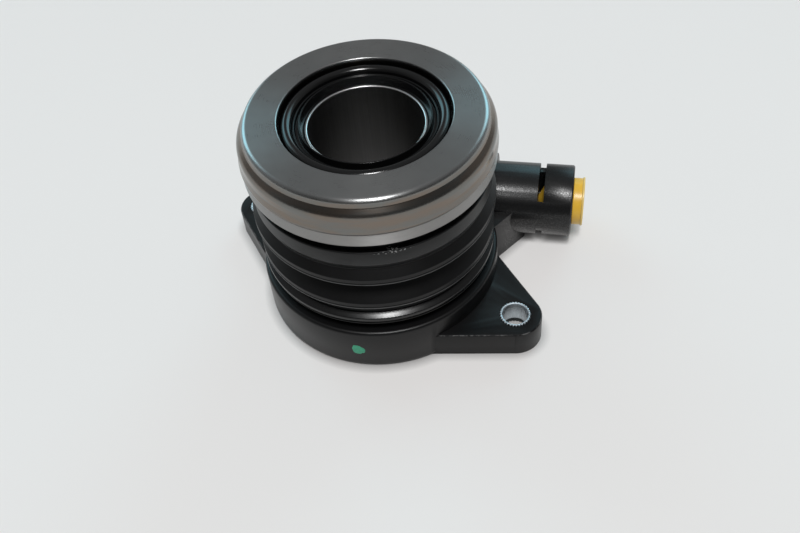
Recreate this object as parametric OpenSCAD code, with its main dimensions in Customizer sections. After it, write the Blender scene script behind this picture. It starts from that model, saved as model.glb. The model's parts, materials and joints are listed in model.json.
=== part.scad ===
// Concentric slave cylinder: a hydraulic clutch actuator that works around the gearbox input shaft.
// Fluid enters the side connector, fills the annular chamber and pushes the piston and its release
// bearing along the guide tube. A preload spring inside the boot keeps the bearing forward.
// Millimetres. Z is the shaft axis, with the gearbox face at z = 0. X runs along the pipe connector.

/* [Guide tube] */
// Inside diameter of the guide tube, which the gearbox shaft passes through
tube_bore_d = 29.7; // [27:0.1:31]
// Wall thickness of the guide tube
tube_wall = 0.8; // [0.6:0.1:1]
// Distance of the tube's rim below the contact face of the bearing
tube_setback = 3.6; // [3.2:0.1:6]
// Outside diameter of the flange at the foot of the tube
tube_flange_d = 44; // [40:0.5:50]
// Thickness of the tube's flange
tube_flange_t = 1.2; // [0.8:0.1:1.6]
// Section diameter of the ring that seals the tube's foot
tube_ring_section = 1.8; // [1.4:0.1:2.4]

/* [Cylinder and piston] */
// Bore of the annular cylinder
cylinder_bore_d = 42; // [41:0.2:44]
// Wall thickness of the cylinder
cylinder_wall = 3; // [2:0.1:4]
// Height of the floor under the pressure chamber
chamber_floor = 6.5; // [5.5:0.1:7.5]
// Travel of the piston from fully out to fully back
stroke = 14; // [10:0.5:15]
// Height of the lip seal under the piston
seal_h = 4.5; // [3.5:0.1:5]
// Thickness of the piston's flange, which carries the bearing
flange_t = 3.6; // [3:0.1:5]

/* [Housing drum] */
// Diameter of the housing's drum
drum_d = 66; // [65:0.5:74]
// Height of the drum above the gearbox face
drum_h = 14.2; // [13.8:0.2:20]
// Radius of the drum's upper edge
drum_edge_r = 1; // [0.4:0.1:1.2]
// Wall of the neck that the boot is held on
neck_wall = 1.4; // [1:0.1:2]

/* [Bolt ears] */
// Diameter of the circle that the two bolts lie on
bolt_pcd = 86.4; // [84:0.2:100]
// Direction of the front ear, measured from the connector's direction
ear_angle = -23; // [-40:1:-15]
// Thickness of the ears
ear_t = 8; // [6:0.5:12]
// Radius of an ear around its bolt
ear_tip_r = 7.3; // [6.5:0.1:9]
// Slope of an ear's sides, against its own direction
ear_flare = 30; // [22:1:36]
// Chamfer along the upper edge of an ear
ear_chamfer = 0.3; // [0.2:0.1:1]
// Outside diameter of the bolt bushes
bush_d = 8.5; // [8:0.1:10]
// Clear hole through the bolt bushes
bush_bore_d = 7; // [6.2:0.1:7.2]

/* [Pipe connector] */
// Outside diameter of the connector tube
connector_d = 20.8; // [19:0.2:21.4]
// Distance of the connector's axis from the shaft axis
connector_offset = 25; // [22:0.5:27]
// Height of the connector's axis above the gearbox face
connector_z = 11; // [10.8:0.1:12]
// Distance of the connector's open end from the shaft axis, along the connector
connector_reach = 52.7; // [51:0.1:64]
// Bore of the connector's socket
socket_d = 11.4; // [10.6:0.1:12.4]
// Depth of the socket
socket_depth = 16; // [15:0.5:17]
// Diameter of the drilled fluid passage
passage_d = 3; // [2:0.1:4]
// Distance of the clip slot's middle from the connector's open end
slot_inset = 9.1; // [7:0.1:10]
// Width of the slot for the pipe's retaining clip
slot_w = 1.8; // [1.4:0.1:2.4]
// Length of the clip slot across the connector
slot_span = 16; // [14:0.2:17]
// Diameter of the collar at the connector's root
collar_d = 25.2; // [23:0.2:26]
// Direction of the arm's front face, measured from the connector's direction
arm_angle = 53.5; // [48:0.5:60]
// Distance of the arm's front face from the shaft axis
arm_offset = 19.8; // [18:0.2:21]

/* [Transport plug] */
// Diameter of the plug's head
plug_head_d = 14.2; // [13:0.1:16]
// Thickness of the plug's head
plug_head_t = 3.2; // [2:0.1:5]
// Diameter of the plug's stem where the clip slot crosses it
plug_waist_d = 9; // [8:0.1:10]

/* [Boot and spring] */
// Length of the boot with the bearing forward
boot_h = 27.6; // [27:0.2:34]
// Height of the boot's foot above the drum
boot_lift = 2.7; // [2:0.1:4]
// Wall thickness of the boot
boot_wall = 0.9; // [0.6:0.1:1.2]
// Depth of the boot's folds, from crest to valley
fold_depth = 3.9; // [3:0.1:4.2]
// Height of the flat band on each crest
crest_h = 1.9; // [1.2:0.1:2.4]
// Section radius of the ring that holds the boot's foot
boot_ring_r = 1.5; // [1.2:0.1:1.6]
// Wire diameter of the preload spring
wire_d = 2.3; // [1.6:0.1:2.6]
// Turns of the preload spring
spring_turns = 5; // [3:0.5:5]

/* [Release bearing] */
// Outside diameter of the bearing's fixed race
race_d = 66; // [64:0.5:70]
// Height of the fixed race
race_h = 4.2; // [3.6:0.1:6]
// Ball diameter
ball_d = 7.2; // [6.4:0.1:7.6]
// Number of balls
ball_count = 18; // [12:1:19]
// Depth of the ball grooves in both races
groove_depth = 1; // [0.6:0.1:1.2]
// Thickness of the contact ring above its groove land
crown_t = 3.6; // [3.2:0.1:5]
// Width of the step around the contact face
step_w = 1.6; // [1.4:0.1:2.4]
// Wall thickness of the contact ring's skirt
skirt_t = 1.4; // [1:0.1:1.8]

/* [Hidden] */
$fn = 96;

// Clearances: pieces seated in each other, sliding fits, and free running gaps
seat = 0.05;
slide = 0.08;
gap = 0.3;
// Overlap that makes cuts run clean through
past = 1;
// Share of a whole turn
turn = 360;
// Corner break on moulded and turned edges
edge_break = 0.4;

// Radii outwards from the shaft axis
tube_in_r = tube_bore_d / 2;
tube_r = tube_in_r + tube_wall;
cylinder_r = cylinder_bore_d / 2;
piston_in_r = tube_r + slide;
piston_r = cylinder_r - slide;
cylinder_out_r = cylinder_r + cylinder_wall;
coil_clear = 1;
coil_in_r = cylinder_out_r + coil_clear;
coil_r = coil_in_r + wire_d / 2;
coil_out_r = coil_in_r + wire_d;
neck_in_r = coil_out_r + 2 * gap;
neck_r = neck_in_r + neck_wall;
cuff_in_r = neck_r + seat;
cuff_r = cuff_in_r + boot_wall;
rim_r = cuff_r - gap / 2;
drum_r = drum_d / 2;

// Heights up from the gearbox face
trough_z = drum_h + edge_break * 2;
boot_z = drum_h + boot_lift;
boot_lip_h = 0.5;
neck_grip = 1.6;
neck_z = boot_z + neck_grip;
flange_z = boot_z + boot_h;
cylinder_top = flange_z - stroke - 2 * gap;
seal_z = chamber_floor + stroke + 2 * gap;
piston_z = seal_z + seal_h;
race_z = flange_z + flange_t;
race_top = race_z + race_h;
seat_plate_t = 0.7;

// Bearing
ball_r = ball_d / 2;
groove_r = ball_r + gap;
land_rise = groove_r - groove_depth;
ball_z = race_top + land_rise;
contact_land_z = ball_z + land_rise;
face_z = contact_land_z + crown_t;
race_r = race_d / 2;
race_play = 1;
race_in_r = piston_r + race_play;
pitch_r = (race_in_r + race_r) / 2;
retainer_r = piston_r + 2 * gap;
contact_in_r = retainer_r + 2 * gap;
retainer_z = race_top - edge_break;
washer_t = 0.4;
washer_rise = 0.5;
washer_w = 2.1;
washer_in_r = race_in_r + gap;
lip_z = race_top + washer_t + washer_rise;
lip_t = 0.9;
lip_r = washer_in_r + washer_w - gap;
inner_lip_t = 1.4;
inner_lip_z = lip_z + lip_t + gap;
skirt_in_r = race_r - skirt_t;
skirt_flare = 0.3;
tube_top = face_z - tube_setback;
wiper_r = (piston_in_r + retainer_r) / 2;

// Ears: the flanks lie a hair inside the tip's round, so that the two meet in a clean edge
tangent_play = 0.01;
ear_reach = bolt_pcd / 2;
ear_flank_r = ear_tip_r - tangent_play;

// Connector
connector_r = connector_d / 2;
connector_foot = connector_z - connector_r;
slot_x = connector_reach - slot_inset;
socket_x = connector_reach - socket_depth;
socket_r = socket_d / 2;

// A round stretch of an outline: points on a circle from one direction to another
function arc(c, r, from, to, steps = 6) =
    [for (i = [0 : steps]) c + r * [cos(from + (to - from) * i / steps), sin(from + (to - from) * i / steps)]];

// A ring with the given outline, revolved about the shaft axis
module ring(outline) rotate_extrude($fn = $fn) polygon(outline);

// A plain ring between two radii and two heights
module washer(in_r, out_r, low, high) ring([[in_r, low], [out_r, low], [out_r, high], [in_r, high]]);

// An ear's flanks along +X: they touch the round tip and end inside the drum, where they pass nearest the shaft
module ear_flanks() {
    touch = ear_flank_r * [sin(ear_flare), cos(ear_flare)];
    root = (ear_reach * sin(ear_flare) + ear_flank_r) * [sin(ear_flare), cos(ear_flare)];
    linear_extrude(ear_t)
        polygon([[ear_reach + touch.x, touch.y], root, [root.x, -root.y], [ear_reach + touch.x, -touch.y]]);
}

// Cuts a chamfer along one flank of an ear, a hair deeper than the tip's
module flank_chamfer(side) {
    depth = ear_chamfer + 2 * tangent_play;
    across = depth / sqrt(2);
    translate([ear_reach, 0, ear_t])
        rotate([0, 0, side * (90 - ear_flare)])
            translate([ear_flank_r - depth / 2, 0, -depth / 2])
                rotate([0, -45, 0])
                    translate([0, -ear_reach, -across - past])
                        cube([2 * past, 2 * ear_reach, 2 * (across + past)]);
}

// One bolt ear with its upper edge chamfered
module ear() {
    difference() {
        ear_flanks();
        flank_chamfer(1);
        flank_chamfer(-1);
    }
    translate([ear_reach, 0, 0]) {
        cylinder(r = ear_tip_r, h = ear_t - ear_chamfer);
        translate([0, 0, ear_t - ear_chamfer])
            cylinder(r1 = ear_tip_r, r2 = ear_tip_r - ear_chamfer, h = ear_chamfer);
    }
}

// The drum, its neck and the cylinder as one solid of revolution, before it is hollowed
module drum() {
    foot_rise = 1.6;
    foot_draft = 0.6;
    ring(concat(
        [[0, 0], [drum_r - foot_draft, 0], [drum_r, foot_rise]],
        arc([drum_r - drum_edge_r, drum_h - drum_edge_r], drum_edge_r, 0, 90),
        [[neck_r, drum_h], [neck_r, neck_z], [cylinder_out_r, neck_z],
            [cylinder_out_r, cylinder_top], [0, cylinder_top]]));
}

// The arm that carries the connector: a straight front face, and a back drawn tangent to the drum
module arm() {
    along = [cos(arm_angle), sin(arm_angle)];
    near = arm_offset * [sin(arm_angle), -cos(arm_angle)];
    tip_y = connector_offset - connector_r / 2;
    tip = near + along * (tip_y - near.y) / along.y;
    back_inset = 1.2;
    bury = 2;
    back_y = connector_offset + connector_r - back_inset;
    back_angle = 82;
    linear_extrude(drum_h)
        polygon([near, tip, [tip.x, back_y], [tip.x / 2, back_y],
            (drum_r - bury) * [cos(back_angle), sin(back_angle)]]);
}

// The connector's outer form: its tube and the collar at its root
module connector() {
    collar_inset = 3;
    collar_x = drum_r - collar_inset;
    collar_t = 2.4;
    collar_rise = collar_d / 2;
    start_x = sqrt(pow(drum_r, 2) - pow(connector_offset, 2)) - collar_t;
    translate([start_x, connector_offset, connector_z])
        rotate([0, 90, 0]) {
            cylinder(r = connector_r, h = connector_reach - start_x - edge_break);
            translate([0, 0, connector_reach - start_x - edge_break])
                cylinder(r1 = connector_r, r2 = connector_r - edge_break, h = edge_break);
        }
    intersection() {
        translate([collar_x - collar_t, connector_offset, connector_z])
            rotate([0, 90, 0])
                cylinder(r = collar_rise, h = collar_t);
        translate([0, 0, connector_foot])
            cube([connector_reach, connector_offset + collar_d, connector_z + collar_d]);
    }
}

// Hollows of the housing about the shaft axis: tube seat, ring gland, chamber and spring trough
module drum_hollow() {
    gland_r = tube_r + tube_ring_section + seat * 2;
    gland_z = tube_flange_t + tube_ring_section + seat * 2;
    lead = 0.8;
    translate([0, 0, -past])
        cylinder(r = tube_r + seat, h = chamber_floor + 2 * past);
    translate([0, 0, -past])
        cylinder(r = tube_flange_d / 2 + seat, h = tube_flange_t + past);
    cylinder(r = gland_r, h = gland_z);
    ring([[0, chamber_floor], [cylinder_r, chamber_floor], [cylinder_r, cylinder_top - lead],
        [cylinder_r + lead, cylinder_top], [cylinder_r + lead, cylinder_top + past], [0, cylinder_top + past]]);
    washer(cylinder_out_r, neck_in_r, trough_z, neck_z + past);
}

// Keeps the connector clear of the neck, the spring, the boot and the ring at its foot
module boot_room() {
    translate([0, 0, drum_h])
        cylinder(r = drum_r + 2 * gap, h = connector_z + collar_d);
}

// Slot across the connector for the pipe's clip, open above, with its back end lowered so that the clip
// slips in from behind, and a shallow groove round the underside
module clip_slot() {
    slot_sink = 7;
    back_rise = 3.2;
    groove_in = 0.8;
    groove_top = 2;
    translate([slot_x - slot_w / 2, connector_offset - slot_span / 2, connector_z - slot_sink])
        cube([slot_w, slot_span, slot_sink + connector_d]);
    translate([slot_x - slot_w / 2, connector_offset, connector_z + back_rise])
        cube([slot_w, connector_d, connector_d]);
    difference() {
        translate([slot_x - slot_w / 2, connector_offset - connector_d, connector_z - connector_d - groove_top])
            cube([slot_w, 2 * connector_d, connector_d]);
        translate([slot_x - slot_w, connector_offset, connector_z])
            rotate([0, 90, 0])
                cylinder(r = connector_r - groove_in, h = 2 * slot_w);
    }
}

// Socket, its lead-in and the drilled passage from its floor to the chamber
module fluid_way() {
    lead = 0.8;
    bearing = atan2(connector_offset, socket_x);
    run = norm([connector_offset, socket_x]);
    translate([socket_x, connector_offset, connector_z])
        rotate([0, 90, 0])
            cylinder(r = socket_r, h = socket_depth + past);
    translate([connector_reach - lead, connector_offset, connector_z])
        rotate([0, 90, 0])
            cylinder(r1 = socket_r, r2 = socket_r + lead * 2, h = lead * 2);
    rotate([0, 0, bearing])
        translate([(tube_r + cylinder_r) / 2, 0, connector_z])
            rotate([0, 90, 0])
                cylinder(d = passage_d, h = run - (tube_r + cylinder_r) / 2 + passage_d / 2);
}

module housing() {
    color([0.10, 0.10, 0.11])
        difference() {
            union() {
                drum();
                rotate([0, 0, ear_angle])
                    ear();
                rotate([0, 0, ear_angle + turn / 2])
                    ear();
                arm();
                difference() {
                    connector();
                    boot_room();
                }
            }
            drum_hollow();
            clip_slot();
            fluid_way();
            for (half = [0, turn / 2])
                rotate([0, 0, ear_angle + half])
                    translate([ear_reach, 0, -past])
                        cylinder(d = bush_d + 2 * seat, h = ear_t + 2 * past);
        }
}

module guide_tube() {
    rim = tube_wall / 4;
    color([0.62, 0.62, 0.64])
        ring([[tube_in_r, 0], [tube_flange_d / 2, 0], [tube_flange_d / 2, tube_flange_t],
            [tube_r, tube_flange_t], [tube_r, tube_top - rim], [tube_r - rim, tube_top],
            [tube_in_r + rim, tube_top], [tube_in_r, tube_top - rim]]);
}

module tube_o_ring() {
    color([0.06, 0.06, 0.06])
        rotate_extrude()
            translate([tube_r + seat + tube_ring_section / 2, tube_flange_t + seat + tube_ring_section / 2])
                circle(d = tube_ring_section);
}

// A bolt bush: a thin sleeve that stands a little above its ear, with its edges broken
module bolt_bush(direction) {
    proud = 0.3;
    top = ear_t + proud;
    bore_r = bush_bore_d / 2;
    out_r = bush_d / 2;
    lead = (out_r - bore_r) / 3;
    color([0.80, 0.82, 0.84])
        rotate([0, 0, direction])
            translate([ear_reach, 0, 0])
                ring([[bore_r + lead, 0], [out_r, 0], [out_r, top - lead], [out_r - lead, top],
                    [bore_r + lead, top], [bore_r, top - lead], [bore_r, lead]]);
}

module front_bolt_bush() bolt_bush(ear_angle);

module rear_bolt_bush() bolt_bush(ear_angle + turn / 2);

// The plug's head closes the socket's mouth; its stem ends in a blunt nose under the clip slot
module transport_plug() {
    stem_r = socket_r - seat;
    waist_r = plug_waist_d / 2;
    nose_r = waist_r / 4;
    nose_x = -slot_inset - slot_w / 2;
    taper = slot_w / (waist_r - nose_r);
    head_r = plug_head_d / 2;
    rim_x = plug_head_t - edge_break * 3 / 2;
    grip_r = head_r - gap;
    rim_break = edge_break / 2;
    color([0.91, 0.68, 0.16])
        translate([connector_reach, connector_offset, connector_z])
            rotate([0, 90, 0])
                ring([[0, nose_x], [nose_r, nose_x], [stem_r, nose_x + (stem_r - nose_r) * taper], [stem_r, 0],
                    [grip_r, 0], [grip_r, rim_x], [head_r, rim_x], [head_r, plug_head_t - rim_break],
                    [head_r - rim_break, plug_head_t], [0, plug_head_t]]);
}

module lower_spring_seat() {
    color([0.55, 0.55, 0.57])
        washer(cylinder_out_r + seat, neck_in_r - seat, trough_z, trough_z + seat_plate_t);
}

module upper_spring_seat() {
    color([0.55, 0.55, 0.57])
        washer(cylinder_out_r + 2 * gap, coil_out_r + gap, flange_z - seat_plate_t, flange_z);
}

// The spring's wire: rings of points carried along a helix whose end turns lie flatter
module preload_spring() {
    low = trough_z + seat_plate_t + wire_d / 2 + seat;
    high = flange_z - seat_plate_t - wire_d / 2 - seat;
    flatten = 0.6;
    sides = 8;
    turn_steps = 28;
    steps = ceil(spring_turns * turn_steps);
    function rise(t) = low + (high - low) * (t - flatten * sin(turn * t) / (2 * PI));
    points = [for (i = [0 : steps], j = [0 : sides - 1])
        let (t = i / steps, a = turn * spring_turns * t, b = turn * j / sides,
            r = coil_r + wire_d / 2 * cos(b))
        [r * cos(a), r * sin(a), rise(t) + wire_d / 2 * sin(b)]];
    walls = [for (i = [0 : steps - 1], j = [0 : sides - 1])
        let (k = (j + 1) % sides)
        [i * sides + j, (i + 1) * sides + j, (i + 1) * sides + k, i * sides + k]];
    start = [for (j = [0 : sides - 1]) j];
    end = [for (j = [sides - 1 : -1 : 0]) steps * sides + j];
    color([0.45, 0.45, 0.47])
        polyhedron(points, concat([start, end], walls));
}

// Bellows: a foot with a thin lip, two crests with flat bands, and a cuff that turns in under the flange
module boot() {
    lip_reach = 1.35;
    foot_h = 4.6;
    fold_gap = 8;
    cuff_h = 4.4;
    cuff_inset = 1;
    grip = 1.2;
    crest_r = cuff_in_r - 2 * gap + fold_depth;
    low_crest_z = boot_z + foot_h + fold_gap / 4 + edge_break / 2;
    high_crest_z = low_crest_z + crest_h + fold_gap;
    top_cuff_z = flange_z - cuff_h;
    upper_valley_z = (high_crest_z + crest_h + top_cuff_z) / 2;
    valley_r = crest_r - fold_depth;
    outer = [[cuff_r, boot_z + boot_lip_h], [cuff_r, boot_z + foot_h],
        [crest_r - gap * 2, low_crest_z], [crest_r - gap * 2, low_crest_z + crest_h],
        [valley_r, low_crest_z + crest_h + fold_gap / 2],
        [crest_r, high_crest_z], [crest_r, high_crest_z + crest_h],
        [crest_r - fold_depth / 2, upper_valley_z],
        [crest_r - cuff_inset, top_cuff_z], [crest_r - cuff_inset, flange_z - boot_wall]];
    inner = [for (i = [len(outer) - 1 : -1 : 0]) [outer[i].x - boot_wall, outer[i].y]];
    color([0.08, 0.08, 0.085])
        ring(concat(
            [[cuff_in_r, boot_z], [cuff_r + lip_reach, boot_z], [cuff_r + lip_reach, boot_z + boot_lip_h]],
            outer,
            [[crest_r - cuff_inset, flange_z], [rim_r - grip, flange_z], [rim_r - grip, flange_z - boot_wall]],
            inner));
}

// A round-backed ring that grips the boot's foot above its lip, flattened where it faces up and out
module boot_ring() {
    low = boot_z + boot_lip_h + seat;
    middle = low + boot_ring_r;
    in_r = cuff_r + seat;
    flat_from = 20;
    color([0.03, 0.03, 0.032])
        ring(concat([[in_r, low]], arc([in_r + gap, middle], boot_ring_r, -90, flat_from, 8),
            [[in_r, middle + boot_ring_r]]));
}

// Sleeve that slides on the tube and in the bore, with the flange that carries bearing, spring and boot
module piston() {
    color([0.09, 0.09, 0.10])
        ring([[piston_in_r, piston_z], [piston_r, piston_z], [piston_r, flange_z], [rim_r, flange_z],
            [rim_r, race_z], [piston_r, race_z], [piston_r, retainer_z], [piston_in_r, retainer_z]]);
}

// Cup seal: two lips that spread against the tube and the bore under pressure
module piston_seal() {
    lip = 1.1;
    heel = 2;
    groove_in = tube_r + slide + lip;
    groove_out = cylinder_r - slide - lip;
    color([0.05, 0.05, 0.05])
        ring([[tube_r + slide, seal_z], [tube_r + slide, piston_z], [cylinder_r - slide, piston_z],
            [cylinder_r - slide, seal_z], [cylinder_r - slide - lip / 2, seal_z],
            [groove_out, piston_z - heel], [groove_in, piston_z - heel], [tube_r + slide + lip / 2, seal_z]]);
}

// Ground lower ring of the bearing, held still by the piston
module fixed_race() {
    color([0.72, 0.72, 0.72])
        difference() {
            ring([[race_in_r, race_z], [race_r - edge_break, race_z], [race_r, race_z + edge_break],
                [race_r, race_top - edge_break / 2], [race_r - edge_break / 2, race_top],
                [race_in_r, race_top]]);
            ball_track();
        }
}

// Round groove that the balls run in
module ball_track() {
    rotate_extrude()
        translate([pitch_r, ball_z])
            circle(r = groove_r);
}

// Shallow spring cone that lets the bearing find its own centre
module centring_washer() {
    out_r = washer_in_r + washer_w;
    color([0.50, 0.50, 0.52])
        ring([[washer_in_r, race_top + washer_rise], [out_r, race_top],
            [out_r, race_top + washer_t], [washer_in_r, race_top + washer_rise + washer_t]]);
}

// Cap that holds the bearing down on the piston, with a rounded rim around the wiper
module race_retainer() {
    rim_drop = 1;
    in_r = wiper_r + seat;
    rim = (retainer_r - in_r) / 2;
    crest = face_z - rim_drop - rim;
    color([0.04, 0.04, 0.042])
        ring(concat([[in_r, retainer_z], [retainer_r, retainer_z], [retainer_r, lip_z], [lip_r, lip_z],
            [lip_r, lip_z + lip_t], [retainer_r, lip_z + lip_t]],
            arc([in_r + rim, crest], rim, 0, 180, 10)));
}

// Rubber wiper: two ribs on its upper face and a sharp lip on the tube
module wiper_seal() {
    in_r = tube_r + seat;
    rib = 0.35;
    rib_drop = 2.3;
    rib_step = 0.7;
    rib_rise = 0.5;
    rib_inset = 1;
    crest = face_z - rib_drop;
    low_rib = crest - rib_step;
    low_rib_r = in_r + rib_inset;
    valley = low_rib - rib_rise;
    color([0.05, 0.05, 0.05])
        ring(concat([[in_r, retainer_z], [wiper_r, retainer_z]],
            arc([wiper_r - rib, crest - rib], rib, 0, 180),
            [[wiper_r - 2 * rib, valley], [low_rib_r + rib, valley], [low_rib_r + rib / 2, low_rib],
                [low_rib_r - rib / 2, low_rib], [in_r, valley - rib]]));
}

// Turning upper ring: a flat contact face that rolls over into a step, and a skirt over the balls.
// The step is followed from its corner both ways: up a steep wall and over a crown to the face,
// and down a tilted ledge and round a wide shoulder to the skirt
module contact_ring() {
    bore_edge = 0.6;
    step_drop = crown_t * 3 / 5;
    step = [race_r - step_w, face_z - step_drop];
    wall_tilt = 10;
    crown_r = 1.4;
    wall = (step_drop - crown_r * (1 - sin(wall_tilt))) / cos(wall_tilt);
    wall_top = step + wall * [-sin(wall_tilt), cos(wall_tilt)];
    crown = wall_top - crown_r * [cos(wall_tilt), sin(wall_tilt)];
    ledge_tilt = 48;
    shoulder_r = 2.8;
    ledge = (step_w - shoulder_r * (1 - cos(ledge_tilt))) / sin(ledge_tilt);
    ledge_end = step + ledge * [sin(ledge_tilt), -cos(ledge_tilt)];
    shoulder = ledge_end - shoulder_r * [cos(ledge_tilt), sin(ledge_tilt)];
    skirt_z = race_top + gap;
    bottom_band = 2.4;
    color([0.48, 0.48, 0.48])
        difference() {
            ring(concat(
                [[contact_in_r, inner_lip_z]],
                arc([contact_in_r + bore_edge, face_z - bore_edge], bore_edge, 180, 90),
                arc(crown, crown_r, 90, wall_tilt),
                [step],
                arc(shoulder, shoulder_r, ledge_tilt, 0),
                [[race_r, skirt_z + bottom_band],
                    [race_r + skirt_flare, skirt_z + edge_break], [race_r + skirt_flare, skirt_z],
                    [skirt_in_r, skirt_z], [skirt_in_r, contact_land_z],
                    [contact_in_r + inner_lip_t, contact_land_z], [contact_in_r + inner_lip_t, inner_lip_z]]));
            ball_track();
        }
}

// Rubber ring pressed into the skirt, with a lip above the fixed race that stays clear of the balls
module bearing_seal() {
    out_r = skirt_in_r - seat;
    rise = 0.9;
    low = race_top + gap + edge_break / 4;
    lip_top = low + edge_break;
    high = low + rise;
    function clear_r(z) = pitch_r + sqrt(pow(ball_r, 2) - pow(z - ball_z, 2)) + gap;
    color([0.06, 0.06, 0.06])
        ring([[out_r, low], [out_r, high], [clear_r(high), high], [clear_r(lip_top), lip_top],
            [clear_r(lip_top), low]]);
}

// Cage with one round pocket for each ball: a ring between the balls, joined by a plate above their middles
module ball_cage() {
    pocket_r = ball_r + gap / 2;
    plate_t = 0.8;
    plate_top = land_rise - gap;
    plate_w = sqrt(pow(pocket_r, 2) - pow(plate_top - plate_t, 2)) + gap;
    half_w = 2.3;
    drop = 1.4;
    color([0.16, 0.14, 0.10])
        difference() {
            union() {
                washer(pitch_r - half_w, pitch_r + half_w, ball_z - drop, ball_z + plate_top);
                washer(pitch_r - plate_w, pitch_r + plate_w, ball_z + plate_top - plate_t, ball_z + plate_top);
            }
            for (i = [0 : ball_count - 1])
                rotate([0, 0, turn * i / ball_count])
                    translate([pitch_r, 0, ball_z])
                        sphere(r = pocket_r);
        }
}

module bearing_balls() {
    color([0.85, 0.85, 0.86])
        for (i = [0 : ball_count - 1])
            rotate([0, 0, turn * i / ball_count])
                translate([pitch_r, 0, ball_z])
                    sphere(r = ball_r);
}

housing();
guide_tube();
tube_o_ring();
front_bolt_bush();
rear_bolt_bush();
transport_plug();
lower_spring_seat();
preload_spring();
boot();
boot_ring();
piston();
piston_seal();
upper_spring_seat();
fixed_race();
centring_washer();
race_retainer();
wiper_seal();
contact_ring();
bearing_seal();
ball_cage();
bearing_balls();
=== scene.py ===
"""A concentric slave cylinder in turned steel, moulded plastic and rubber, set in a plain studio.

Most pieces are profiles in (radius, height) carried round an axis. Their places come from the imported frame.
"""
import json
import math

import bmesh
import bpy
import numpy as np
from mathutils import Matrix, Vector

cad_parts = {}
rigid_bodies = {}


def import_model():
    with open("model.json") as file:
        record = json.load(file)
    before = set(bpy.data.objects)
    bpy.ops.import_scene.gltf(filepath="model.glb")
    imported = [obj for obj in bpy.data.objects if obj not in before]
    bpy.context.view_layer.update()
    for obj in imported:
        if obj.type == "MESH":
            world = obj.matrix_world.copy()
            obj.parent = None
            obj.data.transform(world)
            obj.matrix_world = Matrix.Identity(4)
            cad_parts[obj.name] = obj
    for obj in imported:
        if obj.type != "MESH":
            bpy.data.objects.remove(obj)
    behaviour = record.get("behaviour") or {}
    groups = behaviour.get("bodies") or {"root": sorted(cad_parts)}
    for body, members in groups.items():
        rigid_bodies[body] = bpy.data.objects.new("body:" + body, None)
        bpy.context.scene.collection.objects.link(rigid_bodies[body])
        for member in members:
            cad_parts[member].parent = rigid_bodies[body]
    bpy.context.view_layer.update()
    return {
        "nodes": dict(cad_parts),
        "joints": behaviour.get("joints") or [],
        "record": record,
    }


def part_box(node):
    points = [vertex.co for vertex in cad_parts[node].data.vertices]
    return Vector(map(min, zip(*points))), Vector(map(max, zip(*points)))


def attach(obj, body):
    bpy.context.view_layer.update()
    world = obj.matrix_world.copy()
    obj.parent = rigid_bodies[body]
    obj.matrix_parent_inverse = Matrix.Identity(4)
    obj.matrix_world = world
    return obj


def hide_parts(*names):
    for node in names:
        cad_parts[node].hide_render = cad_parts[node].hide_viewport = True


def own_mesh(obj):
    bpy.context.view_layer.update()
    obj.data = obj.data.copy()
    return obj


for leftover in list(bpy.data.objects):
    bpy.data.objects.remove(leftover)
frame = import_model()

bl_info = {
    "name": "Concentric slave cylinder",
    "version": (1, 0, 0),
    "blender": (4, 5, 0),
    "location": "3D View > Sidebar > Slave cylinder",
    "description": "Finishes a clutch slave cylinder and sets it in a plain studio",
    "category": "Object",
}

MM = 0.001
TURN = 2 * math.pi
BROAD, SOFT, EDGE, CRISP, KEEN = 0.5 * MM, 0.3 * MM, 0.2 * MM, 0.15 * MM, 0.1 * MM  # roundings of edges
SEAT = 0.05 * MM  # play between a piece and what it sits on
WELD = 1e-8  # distance in metres below which points are one


# Sizes and colours


def length(name, description, millimetres):
    """A length that a user can change, given in millimetres."""
    return bpy.props.FloatProperty(
        name=name, description=description, default=millimetres * MM, min=0, precision=5, unit="LENGTH")


def count(name, description, value):
    """A whole number that a user can change."""
    return bpy.props.IntProperty(name=name, description=description, default=value, min=1)


def number(name, description, value, unit="NONE"):
    """A plain number that a user can change."""
    return bpy.props.FloatProperty(name=name, description=description, default=value, min=0, unit=unit)


def angle(name, description, degrees):
    """An angle that a user can change, given in degrees."""
    return bpy.props.FloatProperty(
        name=name, description=description, default=math.radians(degrees), unit="ROTATION", subtype="ANGLE")


def colour(name, description, red, green, blue):
    """A linear colour that a user can change."""
    return bpy.props.FloatVectorProperty(
        name=name, description=description, default=(red, green, blue), min=0, max=1, subtype="COLOR")


class BearingSizes(bpy.types.PropertyGroup):
    """Sizes of the release bearing's rings."""
    bore: length("Bore", "Radius of the contact ring's bore", 22.12)
    bore_round: length("Bore edge", "Rounding where the contact face meets the bore", 0.35)
    lip: length("Inner lip", "Wall of the lip that hangs inside the balls", 1.4)
    lip_foot: length("Inner lip's foot", "Height of the lip's foot above the skirt's foot", 1.8)
    crown_round: length("Crown edge", "Rounding where the contact face rolls over", 1.4)
    wall_tilt: angle("Wall tilt", "Elevation that the step's wall faces", 10)
    step: length("Step", "Width of the step around the contact face", 1.6)
    step_drop: length("Step drop", "Depth of the step's corner below the contact face", 2.16)
    fillet: length("Fillet", "Rounding in the step's corner", 0.6)
    ledge_tilt: angle("Ledge tilt", "Elevation that the step's ledge faces", 43)
    shoulder_round: length("Shoulder", "Rounding where the ledge passes into the skirt", 2.8)
    skirt: length("Skirt", "Radius of the skirt below the step", 33.0)
    skirt_wall: length("Skirt wall", "Thickness of the skirt", 1.4)
    band: length("Foot band", "Height of the flared band at the skirt's foot", 2.4)
    crown: length("Crown", "Thickness of the ring above its balls' land", 3.6)
    race_bore: length("Race bore", "Radius of the fixed race's bore", 21.92)
    groove: length("Groove", "Radius of the groove that the balls run in", 3.9)
    land: length("Land", "Height of a race's land from the balls' middle", 2.9)
    chamfer: length("Chamfer", "Chamfer on the rings' outer edges", 0.4)


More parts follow.
